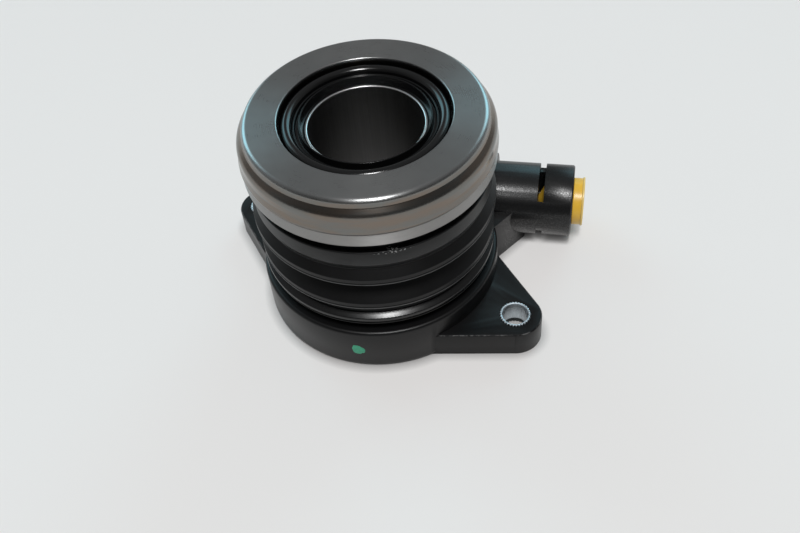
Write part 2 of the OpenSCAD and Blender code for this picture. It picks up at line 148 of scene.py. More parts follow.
class BootSizes(bpy.types.PropertyGroup):
    """Sizes of the rubber boot and its ring."""
    wall: length("Wall", "Thickness of the rubber", 0.9)
    neck: length("Neck", "Radius of the foot's inside", 29.35)
    foot_lip: length("Foot lip", "Radius of the lip around the foot", 31.6)
    lip_height: length("Lip height", "Thickness of the lip around the foot", 0.5)
    foot: length("Foot", "Height of the straight foot", 4.6)
    rise: length("Rise", "Height from the foot to the low crest", 2.2)
    crest_band: length("Crest band", "Height of the flat band on a crest", 1.9)
    fold: length("Fold", "Height from one crest's band to the next", 8.0)
    depth: length("Fold depth", "Depth of a fold from crest to valley", 3.9)
    low_inset: length("Low crest inset", "How far the low crest lies inside the high one", 0.6)
    cuff: length("Cuff", "Height of the upper cuff", 4.4)
    cuff_inset: length("Cuff inset", "How far the cuff lies inside the high crest", 1.0)
    grip: length("Grip", "Inner radius of the lip under the piston's flange", 28.9)
    soft_edge: length("Soft edge", "Rounding of the rubber's edges", 0.35)
    groove: length("Parting groove", "Width of the groove around each crest", 0.36)
    groove_rise: length("Groove's rise", "Height of the groove above its crest's foot", 0.45)
    # The cuff's pale specks are painted glints of the lamp.
    glint_specks_at: angle("Scuff's direction", "Direction of the pale specks on the cuff", -69.5)
    glint_specks_below: length("Scuff's drop", "Depth of the specks below the boot's top", 0.45)


class FittingSizes(bpy.types.PropertyGroup):
    """Sizes of the small fittings."""
    bush_foot: length("Bush foot", "Height of the widened foot of a bolt bush", 2.0)
    bush_wall: length("Bush foot's wall", "Wall of the widened foot", 0.2)
    bush_round: length("Bush edge", "Rounding of a bolt bush's rim", 0.3)
    teeth: count("Bush teeth", "Serrations around a bolt bush", 30)
    tooth: length("Tooth depth", "Depth of the serrations", 0.40)
    seam: length("Bush seam", "Width of the seam where a bush's strip meets", 0.60)
    seam_at: angle("Seam direction", "Direction of the seam around a bush", 6)
    stem: length("Plug stem", "Radius of the plug's stem", 5.65)
    nose: length("Plug nose", "Radius of the flat on the plug's nose", 1.125)
    taper: length("Plug taper", "Length of the plug's nose", 2.4)
    head: length("Plug head", "Thickness of the plug's head", 3.2)
    rim: length("Plug rim", "Width of the rim around the head's end", 0.6)
    channel: length("Plug channel", "How far the head's side lies inside its rim", 0.3)
    dish: length("Plug dish", "Depth of the dish in the plug's end", 1.2)
    wire: length("Spring wire", "Wire diameter of the preload spring", 2.3)
    turns: count("Spring turns", "Turns of the preload spring", 5)
    mark_at: angle("Paint mark's direction", "Direction of the paint mark on the drum", -91.2)
    mark_height: length("Paint mark's height", "Height of the paint mark's middle", 7.2)
    mark_wide: length("Paint mark's width", "Half width of the paint mark", 1.75)
    mark_tall: length("Paint mark's reach", "Half height of the paint mark", 1.95)
    mark_film: length("Paint film", "Thickness of the paint mark", 0.07)


class Colours(bpy.types.PropertyGroup):
    """Linear colours of the finishes."""
    moulding: colour("Moulding", "Black of the moulded housing", 0.0040, 0.0040, 0.0043)
    rubber: colour("Rubber", "Black of the boot and the seals", 0.0030, 0.0030, 0.0032)
    # Pale grey painted on black: a painted highlight on the ears' edges, painted glints on the boot's cuff,
    # and partly wear, partly painted highlight on the boot's crest edges.
    highlight_and_rub: colour("Rubbed black", "Grey of black edges that are rubbed", 0.15, 0.15, 0.15)
    gloss: colour("Gloss plastic", "Black of the glossy rings", 0.0030, 0.0030, 0.0032)
    pressed: colour("Pressed steel", "Grey of the contact face", 0.325, 0.33, 0.33)
    side: colour("Pressed sides", "Grey of the contact ring's sides", 0.190, 0.187, 0.177)
    warm: colour("Warm steel", "Straw tint on the contact ring's sides", 0.215, 0.178, 0.150)
    ground: colour("Ground steel", "Grey of the fixed race", 0.36, 0.352, 0.345)
    tube: colour("Drawn steel", "Grey of the guide tube", 0.42, 0.42, 0.42)
    zinc: colour("Zinc", "Plate on the bolt bushes", 0.66, 0.73, 0.78)
    plug: colour("Plug", "Yellow of the transport plug", 0.95, 0.545, 0.050)
    # Painted light shining through the plug's thin rim.
    pale: colour("Thin plug", "Paler yellow of the plug's thin rim", 0.86, 0.66, 0.25)
    mark: colour("Paint mark", "Green of the inspection mark", 0.030, 0.40, 0.22)
    spring: colour("Spring steel", "Dark steel of the spring and plates", 0.30, 0.30, 0.31)
    cage: colour("Cage", "Brown of the ball cage", 0.10, 0.075, 0.045)
    floor: colour("Floor", "Pale studio floor", 0.81, 0.795, 0.785)
    window: colour("Window", "Tint of the light from the windows", 0.45, 0.87, 1.0)


class Studio(bpy.types.PropertyGroup):
    """The camera, the lamp, the windows and the floor."""
    camera_x: length("Camera X", "Camera's place along the connector", 52.03)
    camera_back: length("Camera back", "Camera's distance in front of the shaft axis", 187.62)
    camera_up: length("Camera height", "Camera's height above the floor", 222.8)
    yaw: angle("Yaw", "Camera's turn from straight ahead", -14.10)
    pitch: angle("Pitch", "How far the camera looks down", 48.484)
    roll: angle("Roll", "Camera's tilt about its own axis", 6.02)
    focal: length("Focal length", "Lens for a sensor 36 mm wide", 45.22)
    lamp_away: length("Lamp distance", "Distance of the lamp from the object", 2000)
    lamp_rise: angle("Lamp elevation", "Elevation of the lamp", 69)
    lamp_at: angle("Lamp direction", "Direction of the lamp around the object", -74.5)
    lamp_wide: length("Lamp width", "Width of the lamp's panel", 320)
    lamp_deep: length("Lamp depth", "Depth of the lamp's panel", 560)
    lamp_power: number("Lamp power", "Power of the lamp", 24.5, "POWER")
    window_at: angle("Window direction", "Direction of either window from the lamp's", 144)
    window_light: number("Window light", "Brightness of the windows", 2.8)
    floor_reach: length("Floor", "Half width of the floor", 3000)
    floor_glow: number("Floor glow", "Share of the floor's paleness that no shadow falls on", 0.48)


def sizes(group):
    """One of the scene's groups of sizes."""
    return getattr(bpy.context.scene, "slave_" + group)


# Shapes


def ends(node):
    """Heights of a node's foot and top."""
    low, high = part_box(node)
    return low.z, high.z


def mount_size(name, size):
    """A size of one of the record's mounts."""
    return next(m for m in frame["record"]["mounts"] if m["name"] == name)["dims"][size] * MM


def stroke():
    """Length of the release travel."""
    return -next(j for j in frame["joints"] if j["name"] == "release_travel")["range_m"][0]


def drum_radius():
    """Radius of the housing's drum, which is the housing's foremost point."""
    return -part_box("housing")[0].y


def radius(node):
    """Radius of a round node: half of its box's width."""
    low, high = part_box(node)
    return (high.x - low.x) / 2


def arc(centre, r, start, stop, steps=12):
    """Points on a circle about centre, from one direction in degrees to another."""
    turn = np.radians(np.linspace(start, stop, steps))
    return np.c_[centre[0] + r * np.cos(turn), centre[1] + r * np.sin(turn)]


def rounded(before, corner, after, r, steps=5):
    """An arc of radius r in place of a corner: its radius swings from one point of touch to the other.

    It uses no more than a share of a side. A guard point beyond each end lets the flats shade flat.
    """
    straight, most, guard = math.radians(88), 0.42, 0.05
    to_before, to_after = before - corner, after - corner
    far = min(np.hypot(*to_before), np.hypot(*to_after))
    to_before, to_after = to_before / np.hypot(*to_before), to_after / np.hypot(*to_after)
    half = math.acos(np.clip(to_before @ to_after, -1, 1)) / 2
    if r <= 0 or half > straight:
        return corner[None]
    tangent = min(r / math.tan(half), most * far)
    sweep = math.pi - 2 * half
    centre = corner + (to_before + to_after) / (2 * math.cos(half)) * tangent / math.cos(half)
    start, stop = corner + to_before * tangent - centre, corner + to_after * tangent - centre
    share = np.linspace(0, 1, steps)[:, None]
    bow = (start * np.sin((1 - share) * sweep) + stop * np.sin(share * sweep)) / math.sin(sweep)
    reach = tangent + guard * far
    return np.vstack([corner + to_before * reach, centre + bow, corner + to_after * reach])


def outline(corners, closed=True):
    """A profile from (radius, height, rounding) corners in order, with each rounding as an arc.

    An open profile keeps its two ends as they are.
    """
    points = np.array([c[:2] for c in corners], float)
    last = len(points) - 1
    runs = []
    for i, corner in enumerate(corners):
        if not closed and i in (0, last):
            runs.append(points[i][None])
        else:
            runs.append(rounded(points[i - 1], points[i], points[(i + 1) % len(points)], corner[2]))
    return np.vstack(runs)


def smooth_rounds(points, r):
    """Corners for outline(), all with the same rounding."""
    return [(*p, r) for p in points]


def revolve(profile, segments=256, centre=(0, 0, 0), along="Z", start=0.0, stop=TURN):
    """Grid of a profile's points carried round an axis, each at its own radius and height."""
    whole = math.isclose(stop - start, TURN)
    turn = np.linspace(start, stop, segments, endpoint=not whole)[:, None]
    r, h = profile[None, :, 0], profile[None, :, 1] + 0 * turn
    across, up = r * np.cos(turn), r * np.sin(turn)
    grid = np.stack([h, across, up] if along == "X" else [across, up, h], axis=-1)
    return grid + np.array(centre)


def grid_quads(rows, columns, close_rows, close_columns):
    """Corner indices of the quads between a grid's points, wrapping where a way is closed."""
    i = np.arange(rows if close_rows else rows - 1)[:, None]
    j = np.arange(columns if close_columns else columns - 1)[None]
    next_i, next_j = (i + 1) % rows, (j + 1) % columns
    corners = [i * columns + j, next_i * columns + j, next_i * columns + next_j, i * columns + next_j]
    return np.stack(np.broadcast_arrays(*corners), axis=-1).reshape(-1, 4)


def make_piece(name, grid, close_rows=True, close_columns=True, caps=False, rub=None):
    """A mesh object from a grid of points. Caps close its first and last row, and poles are welded.

    The last argument gives each column a share from 0 to 1, kept as an attribute of the mesh; the boot's pale
    edge lines, partly wear and partly painted highlight, are drawn from it.
    """
    rows, columns = grid.shape[:2]
    faces = grid_quads(rows, columns, close_rows, close_columns).tolist()
    if caps:
        faces.append(list(range(columns)))
        faces.append(list(range(rows * columns - 1, (rows - 1) * columns - 1, -1)))
    mesh = bpy.data.meshes.new(name)
    mesh.from_pydata(grid.reshape(-1, 3).tolist(), [], faces)
    if rub is not None:
        shares = np.tile(rub, rows).astype(np.float32)
        mesh.attributes.new("rub", "FLOAT", "POINT").data.foreach_set("value", shares)
    work = bmesh.new()
    work.from_mesh(mesh)
    bmesh.ops.remove_doubles(work, verts=work.verts, dist=WELD)
    bmesh.ops.dissolve_degenerate(work, edges=work.edges, dist=WELD)
    if work.calc_volume(signed=True) < 0:
        bmesh.ops.reverse_faces(work, faces=work.faces)
    work.to_mesh(mesh)
    work.free()
    mesh.polygons.foreach_set("use_smooth", np.ones(len(mesh.polygons), bool))
    piece = bpy.data.objects.new(name, mesh)
    bpy.context.scene.collection.objects.link(piece)
    return piece


def settle(piece, finish, slot, body, *nodes):
    """Gives a piece its finish and its body, and hides the nodes that it replaces. Its slot is not used."""
    piece.data.materials.clear()
    piece.data.materials.append(finish)
    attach(piece, body)
    if nodes:
        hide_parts(*nodes)
    return piece


def turn_piece(name, profile, segments, finish, slot, body, node):
    """A piece turned about the shaft axis, in place of a node."""
    return settle(make_piece(name, revolve(profile, segments)), finish, slot, body, node)


def dress(node, finish):
    """Gives a node of the frame a better finish."""
    frame["nodes"][node].data.materials[0] = finish


# Finishes


class Wire:
    """A value in a node tree. Arithmetic on it adds Math nodes."""

    def __init__(self, nodes, socket):
        self.nodes, self.socket = nodes, socket

    def __add__(self, other):
        return self.nodes.math("ADD", self, other)

    def __sub__(self, other):
        return self.nodes.math("SUBTRACT", self, other)

    def __rsub__(self, other):
        return self.nodes.math("SUBTRACT", other, self)

    def __mul__(self, other):
        return self.nodes.math("MULTIPLY", self, other)

    def __truediv__(self, other):
        return self.nodes.math("DIVIDE", self, other)

    def __pow__(self, other):
        return self.nodes.math("POWER", self, other)

    __radd__, __rmul__ = __add__, __mul__


class Nodes:
    """Adds nodes to one tree."""

    def __init__(self, tree):
        self.tree = tree
        tree.nodes.clear()

    def node(self, kind, settings=None, inputs=None, output=0):
        """One output of a new shader node, after its settings and its sockets' values or links."""
        made = self.tree.nodes.new("ShaderNode" + kind)
        for key, value in (settings or {}).items():
            setattr(made, key, value)
        for key, value in (inputs or {}).items():
            self.feed(made.inputs[key], value)
        return Wire(self, made.outputs[output])

    def feed(self, socket, value):
        """Links a wire to a socket, or sets the socket's own value."""
        if isinstance(value, Wire):
            self.tree.links.new(value.socket, socket)
        else:
            socket.default_value = value

    def math(self, operation, *values):
        """A Math node on values or wires."""
        return self.node("Math", {"operation": operation}, dict(enumerate(values)))

    def mix(self, share, a, b):
        """Colour a turning into colour b by a share from 0 to 1."""
        return self.node("Mix", {"data_type": "RGBA", "clamp_factor": True}, {0: share, 6: a, 7: b}, 2)

    def band(self, value, low, high):
        """0 below low, 1 above high, smooth between them."""
        return self.node("MapRange", {"interpolation_type": "SMOOTHSTEP"},
                         {"Value": value, "From Min": low, "From Max": high})

    def split(self, vector):
        """The three parts of a vector."""
        made = self.node("SeparateXYZ", None, {0: vector})
        return [Wire(self, socket) for socket in made.socket.node.outputs]

    def join(self, *parts):
        """A vector from three parts."""
        return self.node("CombineXYZ", None, dict(enumerate(parts)))

    def noise(self, vector, scale=1.0, detail=3.0, roughness=0.5):
        """Noise from 0 to 1 at a scale in waves per unit of the vector."""
        return self.node("TexNoise", None,
                         {"Vector": vector, "Scale": scale, "Detail": detail, "Roughness": roughness})


class Finish(Nodes):
    """A material with a Principled shader and Object coordinates."""

    def __init__(self, name, **constants):
        self.material = bpy.data.materials.new(name)
        self.material.use_nodes = True
        super().__init__(self.material.node_tree)
        self.shader = self.tree.nodes.new("ShaderNodeBsdfPrincipled")
        output = self.tree.nodes.new("ShaderNodeOutputMaterial")
        self.tree.links.new(self.shader.outputs[0], output.inputs["Surface"])
        for key, value in constants.items():
            self.shader.inputs[key.replace("_", " ")].default_value = value

    def place(self):
        """Where a point lies, in the object's own metres."""
        return self.node("TexCoord", None, None, "Object")

    def near_top(self, z, node, depth):
        """1 at a node's top and just below it, and 0 from a depth down."""
        top = ends(node)[1]
        return self.band(z, top - depth, top - 0.3 * MM)

    def tones(self, share, name, low, high):
        """A named colour whose gain goes from low to high by a share."""
        return self.mix(share, rgba(name, low), rgba(name, high))

    def paint(self, base, rough, height=None, strength=0.2, depth=0.02 * MM):
        """Feeds the shader's colour and roughness, and a bump from a height."""
        self.feed(self.shader.inputs["Base Color"], base)
        self.feed(self.shader.inputs["Roughness"], rough)
        if height is not None:
            bump = self.node("Bump", None, {"Strength": strength, "Distance": depth, "Height": height})
            self.feed(self.shader.inputs["Normal"], bump)
        return self.material


def rgba(name, gain=1.0):
    """One of the named colours, scaled, with full alpha."""
    return (*[min(1.0, c * gain) for c in getattr(sizes("colours"), name)], 1.0)


def round_place(finish):
    """Radius, direction and height of a point about the shaft axis."""
    x, y, z = finish.split(finish.place())
    return (x * x + y * y) ** 0.5, finish.math("ARCTAN2", y, x), z


def moulded_finish(name, tint, rough, scale, strength):
    """Moulded plastic: a fine grain, with broad faint clouds in tone and gloss."""
    finish = Finish(name, Specular_IOR_Level=0.40)
    where = finish.place()
    grain = finish.noise(where, scale, roughness=0.6)
    cloud = finish.noise(where, scale=70)
    base = finish.tones(cloud, tint, 0.8, 1.35)
    rough = rough - 0.05 + 0.06 * cloud + 0.08 * grain
    return finish.paint(base, rough, grain, strength, depth=0.03 * MM)


def housing_finish():
    """Matt black glass-filled moulding, with a sparkling grain on the connector.

    The ears, where x and y differ in sign, get a painted highlight, broken into patches, in a band along
    their upper edges.
    """
    finish = Finish("housing_moulding", Specular_IOR_Level=0.30, Coat_Roughness=0.26)
    where = finish.place()
    x, y, z = finish.split(where)
    grain = finish.noise(where, scale=3600, detail=2.0, roughness=0.55)
    cloud = finish.noise(where, scale=70)
    highlight_breaks = finish.noise(where, scale=420, roughness=0.65)
    proud = 0.3 * MM
    top, drum_r = ends("front_bolt_bush")[1] - proud, drum_radius()
    outside = finish.band((x * x + y * y) ** 0.5, drum_r + 0.2 * MM, drum_r + 0.8 * MM)
    above = finish.band(z, top - 0.05 * MM, top - 0.01 * MM)
    edge = finish.band(z, top - 0.30 * MM, top - 0.18 * MM) * (1 - above)
    ears = finish.band(0 - x * y, 0.1 * MM * MM, 1 * MM * MM) * outside
    base = finish.tones(cloud, "moulding", 0.8, 1.35)
    # Painted highlight: a pale band along the ears' upper edges, broken up by noise.
    base = finish.mix(edge * ears * finish.band(highlight_breaks, 0.40, 0.62) * 0.8, base, rgba("highlight_and_rub"))
    connector = finish.band(x, 24 * MM, 30 * MM) * finish.band(y, 8 * MM, 14 * MM)
    sparkle = finish.band(grain, 0.42, 0.66) * (0.15 + 0.85 * connector)
    middle = sum(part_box("transport_plug")[end].y for end in (0, 1)) / 2
    front = finish.band(middle - y, -1 * MM, 2 * MM)
    finish.feed(finish.shader.inputs["Coat Weight"], connector * front * (0.1 + 0.7 * sparkle))
    rough = 0.34 - 0.10 * sparkle + 0.04 * cloud
    return finish.paint(base, rough, grain * (0.3 + 0.7 * connector), strength=1.0, depth=0.026 * MM)


def gloss_finish(name, rough):
    """Glossy black plastic with faint streaks along its turn."""
    finish = Finish(name)
    r, turn, z = round_place(finish)
    streak = finish.noise(finish.join(turn * 90, z * 900, r * 900))
    base = finish.tones(streak, "gloss", 0.8, 1.3)
    return finish.paint(base, rough + 0.10 * streak, streak, strength=0.10)


def rubber_finish(name, rough, glint_specks=None):
    """Satin rubber with a fine grain, painted pale along the edges that the piece's mesh attribute marks:
    partly wear, partly a painted edge highlight.

    The specks are a short run of pale specks, at a direction and a height: painted glints of the lamp.
    """
    finish = Finish(name, Specular_IOR_Level=0.28)
    where = finish.place()
    grain = finish.noise(where, scale=3200, detail=2.0)
    wear = finish.noise(where, scale=150, detail=4.0, roughness=0.65)
    rub = finish.node("Attribute", {"attribute_name": "rub"}, None, "Fac")
    base = finish.tones(wear, "rubber", 0.8, 1.5)
    # Pale edge lines: partly wear, partly a painted edge highlight.
    base = finish.mix(rub * finish.band(wear, 0.2, 0.55), base, rgba("highlight_and_rub"))
    if glint_specks:
        turn, z = round_place(finish)[1:]
        per_radian = 4 * MM
        beside, above = finish.math("ABSOLUTE", turn - glint_specks[0]), finish.math("ABSOLUTE", z - glint_specks[1])
        near = 1 - finish.band(beside * per_radian + above, 0.4 * MM, 0.75 * MM)
        specks = finish.band(finish.noise(where, scale=1500, detail=1.0), 0.55, 0.62)
        # Painted glints: pale specks where the lamp's highlight falls on the cuff.
        base = finish.mix(specks * near, base, rgba("highlight_and_rub", 2.2))
    return finish.paint(base, rough + 0.10 * wear + 0.05 * grain, grain, strength=0.15, depth=0.015 * MM)


def pressed_finish():
    """Pressed steel: rings of fine lines, and straw tints in drawn-out patches on the sides."""
    finish = Finish("pressed_steel", Metallic=1.0, Anisotropic=0.6, Anisotropic_Rotation=0.25)
    r, turn, z = round_place(finish)
    lines = finish.noise(finish.join(r * 7000, z * 7000, turn * 3), detail=2.0)
    stain = finish.noise(finish.place(), scale=120, detail=4.0, roughness=0.6)
    drawn = finish.noise(finish.join(turn * 2.2, z * 420, r * 420), roughness=0.6)
    side = 1 - finish.near_top(z, "contact_ring", 1.3 * MM)
    warm = finish.mix(finish.band(drawn, 0.35, 0.65), rgba("side"), rgba("warm"))
    face = finish.tones(stain, "pressed", 0.88, 1.1)
    rough = (0.23 - 0.06 * side) + 0.04 * lines + (0.07 - 0.03 * side) * stain
    return finish.paint(finish.mix(side, face, warm), rough, lines, strength=0.12, depth=0.006 * MM)


def ground_finish():
    """Ground steel: bright, with grinding lines round it that scatter light up and down only."""
    finish = Finish("ground_steel", Metallic=1.0, Anisotropic=1.0, Anisotropic_Rotation=0.25)
    r, turn, z = round_place(finish)
    lines = finish.noise(finish.join(turn * 1.5, z * 9000, r * 9000), detail=2.0, roughness=0.6)
    tone = finish.noise(finish.join(turn * 9, z * 900, r * 900), roughness=0.6)
    base = finish.tones(tone, "ground", 0.85, 1.10)
    return finish.paint(base, 0.30 + 0.06 * tone, lines, strength=0.9, depth=0.035 * MM)


def tube_finish():
    """Drawn steel tube: dull, with faint streaks along its length, its rim painted bright as a highlight and
    the rest painted darker as the shade inside the tube.
    """
    finish = Finish("drawn_steel", Metallic=1.0)
    r, turn, z = round_place(finish)
    streak = finish.noise(finish.join(turn * 60, z * 25, r * 25))
    # Painted highlight on the rim; below it painted shade, darker than the named grey.
    rim = finish.near_top(z, "guide_tube", 0.7 * MM)
    base = finish.tones(streak, "tube", 0.45, 0.70)
    base = finish.mix(rim, base, rgba("tube", 1.4))
    return finish.paint(base, 0.24 + 0.14 * streak, streak, strength=0.06, depth=0.01 * MM)


def zinc_finish():
    """Zinc plate: a rough rim painted bright as a highlight, a bore painted duller as the shade inside it and
    streaked along its length, and a foot painted near black as the shade at the bore's bottom.
    """
    finish = Finish("zinc_plate", Metallic=1.0)
    where = finish.place()
    x, y, z = finish.split(where)
    mottle = finish.noise(where, scale=1500, roughness=0.6)
    streak = finish.noise(finish.join(x * 1700, y * 1700, z * 120), roughness=0.6)
    rim = finish.near_top(z, "front_bolt_bush", 0.7 * MM)
    # Painted shade: near black at the bore's foot.
    foot = 1 - finish.band(z, 1.7 * MM, 2.1 * MM)
    # The bore painted darker as its inner shade, the rim painted brighter as a highlight.
    base = finish.tones(streak, "zinc", 0.42, 0.85)
    base = finish.mix(rim, base, finish.tones(mottle, "zinc", 0.85, 1.25))
    base = finish.mix(foot, base, rgba("zinc", 0.06))
    rough = 0.20 + 0.12 * streak + 0.36 * rim
    return finish.paint(base, rough, mottle, strength=0.7, depth=0.05 * MM)


def spring_finish():
    """Oiled spring steel: blotches of oil over a fine grain."""
    finish = Finish("spring_steel", Metallic=1.0)
    where = finish.place()
    oil = finish.noise(where, scale=220, detail=4.0, roughness=0.6)
    fine = finish.noise(where, scale=3000, detail=2.0)
    base = finish.tones(oil, "spring", 0.7, 1.15)
    return finish.paint(base, 0.28 + 0.16 * oil, fine, strength=0.08, depth=0.01 * MM)


def ball_finish():
    """Polished bearing balls under a trace of grease."""
    finish = Finish("ball_steel", Metallic=1.0)
    grease = finish.noise(finish.place(), scale=300)
    base = finish.tones(grease, "ground", 1.2, 1.0)
    return finish.paint(base, 0.06 + 0.10 * grease)


def plug_finish():
    """Yellow moulded plastic: waxy, and painted paler in the thin rim around its end, as light shining
    through the thin plastic.
    """
    finish = Finish("plug_plastic", Coat_Weight=0.25, Coat_Roughness=0.2)
    where = finish.place()
    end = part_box("transport_plug")[1].x
    thin = finish.band(finish.split(where)[0], end - 0.9 * MM, end - 0.5 * MM)
    cloud = finish.noise(where, scale=260, roughness=0.6)
    grain = finish.noise(where, scale=2600, detail=2.0)
    base = finish.tones(cloud, "plug", 0.88, 1.12)
    # Painted light: the thin rim paler, as if lit through.
    base = finish.mix(thin * 0.6, base, rgba("pale"))
    return finish.paint(base, 0.34 + 0.10 * cloud, grain, strength=0.10)


def mark_finish():
    """Brushed-on green paint, thin and streaky."""
    finish = Finish("paint_mark")
    thin = finish.noise(finish.place(), scale=1100, roughness=0.6)
    base = finish.tones(thin, "mark", 0.55, 1.25)
    return finish.paint(base, 0.28 + 0.15 * thin, thin, strength=0.4, depth=0.05 * MM)


# Pieces


class SLAVE_OT_bearing(bpy.types.Operator):
    """Turn the contact ring and the fixed race"""
    bl_idname = "slave.bearing"
    bl_label = "Release bearing"

    def execute(self, context):
        s = sizes("bearing")
        land = ends("contact_ring")[1] - s.crown
        middle = ((s.race_bore + s.skirt) / 2, land - s.land)
        open_at = math.degrees(math.asin(s.land / s.groove))
        self.contact_ring(s, land, arc(middle, s.groove, open_at, 180 - open_at))
        self.fixed_race(s, arc(middle, s.groove, -open_at, open_at - 180))
        return {"FINISHED"}

    def contact_ring(self, s, land, groove):
        """Inner lip, contact face, step and flared skirt, closed by the groove over the balls."""
        foot, top = ends("contact_ring")
        flare, inside = radius("contact_ring"), s.skirt - s.skirt_wall
        lip, lip_foot = s.bore + s.lip, foot + s.lip_foot
        step = self.soft_step(s, top)
        profile = np.vstack([
            outline([
                (lip, land, 0), (lip, lip_foot, EDGE), (s.bore, lip_foot, EDGE), (s.bore, top, s.bore_round),
                (*step[0], 0)], closed=False),
            step[1:-1],
            outline([
                (*step[-1], 0), (s.skirt, foot + s.band, s.band / 2), (flare, foot + s.chamfer, BROAD),
                (flare, foot, CRISP), (inside, foot, CRISP), (inside, land, 0)], closed=False),
            groove])
        turn_piece("contact_ring_turned", profile, 320, pressed_finish(), "pressed_steel",
                   "contact_ring", "contact_ring")

    def fixed_race(self, s, groove):
        """Ring with broken edges, closed by the groove under the balls."""
        low, high = ends("fixed_race")
        wide, half = radius("fixed_race"), s.chamfer / 2
        profile = np.vstack([
            outline([
                (s.race_bore, high, 0), (s.race_bore, low, EDGE), (wide - s.chamfer, low, KEEN),
                (wide, low + s.chamfer, CRISP), (wide, high - half, KEEN), (wide - half, high, 0)],
                closed=False),
            groove])
        turn_piece("fixed_race_ground", profile, 320, ground_finish(), "ground_steel", "piston", "fixed_race")

    def soft_step(self, s, top):
        """From the face down to the skirt: a crown, a steep wall, a fillet, a tilted ledge and a shoulder.

        The wall and the ledge go out from the step's corner to where each touches its arc.
        """
        def facing(tilt):
            return np.array([math.cos(tilt), math.sin(tilt)])

        def along(tilt):
            return np.array([-math.sin(tilt), math.cos(tilt)])

        guard = 0.2 * MM
        corner = np.array([s.skirt - s.step, top - s.step_drop])
        wall = (s.step_drop - s.crown_round * (1 - math.sin(s.wall_tilt))) / math.cos(s.wall_tilt)
        wall_top = corner + wall * along(s.wall_tilt)
        crown = wall_top - s.crown_round * facing(s.wall_tilt)
        ledge = (s.step - s.shoulder_round * (1 - math.cos(s.ledge_tilt))) / math.sin(s.ledge_tilt)
        ledge_end = corner - ledge * along(s.ledge_tilt)
        shoulder = ledge_end - s.shoulder_round * facing(s.ledge_tilt)
        wall_tilt, ledge_tilt = np.degrees([s.wall_tilt, s.ledge_tilt])
        return np.vstack([
            [crown + (-guard, s.crown_round)],
            arc(crown, s.crown_round, 90, wall_tilt, 18),
            rounded(wall_top, corner, ledge_end, s.fillet),
            arc(shoulder, s.shoulder_round, ledge_tilt, 0, 16),
            [shoulder + (s.shoulder_round, -guard)]])


class SLAVE_OT_bore(bpy.types.Operator):
    """Make the retainer, the wiper and the guide tube in the bearing's bore"""
    bl_idname = "slave.bore"
    bl_label = "Bore"

    def execute(self, context):
        wall = 0.8 * MM
        bore = mount_size("shaft_bore", "r_mm")
        self.tube(bore, bore + wall)
        self.retainer()
        self.wiper(bore + wall + SEAT)
        return {"FINISHED"}

    def tube(self, bore, outer):
        """Thin tube with a flange at its foot and a rounded rim."""
        top, flange = ends("guide_tube")[1], radius("guide_tube")
        flange_top, rim_round = 1.2 * MM, 0.33 * MM
        profile = outline([
            (bore, 0, BROAD), (flange, 0, EDGE), (flange, flange_top, EDGE), (outer, flange_top, SOFT),
            (outer, top, rim_round), (bore, top, rim_round)])
        turn_piece("guide_tube_drawn", profile, 256, tube_finish(), "tube_steel", "housing", "guide_tube")

    def retainer(self):
        """Cap with a half-round rim and a lip that holds the centring washer down."""
        foot, top, lip_r = *ends("race_retainer"), radius("race_retainer")
        gap, lip_t = 0.6 * MM, 0.9 * MM
        inner, outer = radius("wiper_seal") + SEAT, sizes("bearing").bore - gap
        lip = ends("centring_washer")[1]
        lip_top = lip + lip_t
        half = (outer - inner) / 2
        profile = np.vstack([
            outline([
                (inner, top - half, 0), (inner, foot, EDGE), (outer, foot, EDGE), (outer, lip, KEEN),
                (lip_r, lip, CRISP), (lip_r, lip_top, CRISP), (outer, lip_top, EDGE), (outer, top - half, 0)],
                closed=False),
            arc((inner + half, top - half), half, 0, 180, 20)[1:-1]])
        turn_piece("race_retainer_cap", profile, 256, gloss_finish("retainer_plastic", 0.11), "ring_plastic",
                   "piston", "race_retainer")

    def wiper(self, inner):
        """Rubber ring with a rib and a taller lip on top, and an edge on the tube."""
        foot, top, outer = *ends("wiper_seal"), radius("wiper_seal")
        wide, sink, rise, inset = 0.7 * MM, 1.2 * MM, 0.8 * MM, 1.0 * MM
        rib, valley = outer - wide, top - sink
        lip, lip_top = inner + inset, top + rise
        rib_round, valley_round, lip_round = 0.34 * MM, 0.25 * MM, 0.16 * MM
        profile = outline([
            (inner, foot, KEEN), (outer, foot, KEEN), (outer, top, rib_round), (rib, top, rib_round),
            (rib, valley, valley_round), (lip + wide / 2, valley, EDGE), (lip + wide / 4, lip_top, lip_round),
            (lip - wide / 4, lip_top, lip_round), (inner, valley - wide / 2, KEEN)])
        turn_piece("wiper_seal_ribbed", profile, 256, rubber_finish("wiper_rubber", 0.13), "seal_rubber",
                   "piston", "wiper_seal")


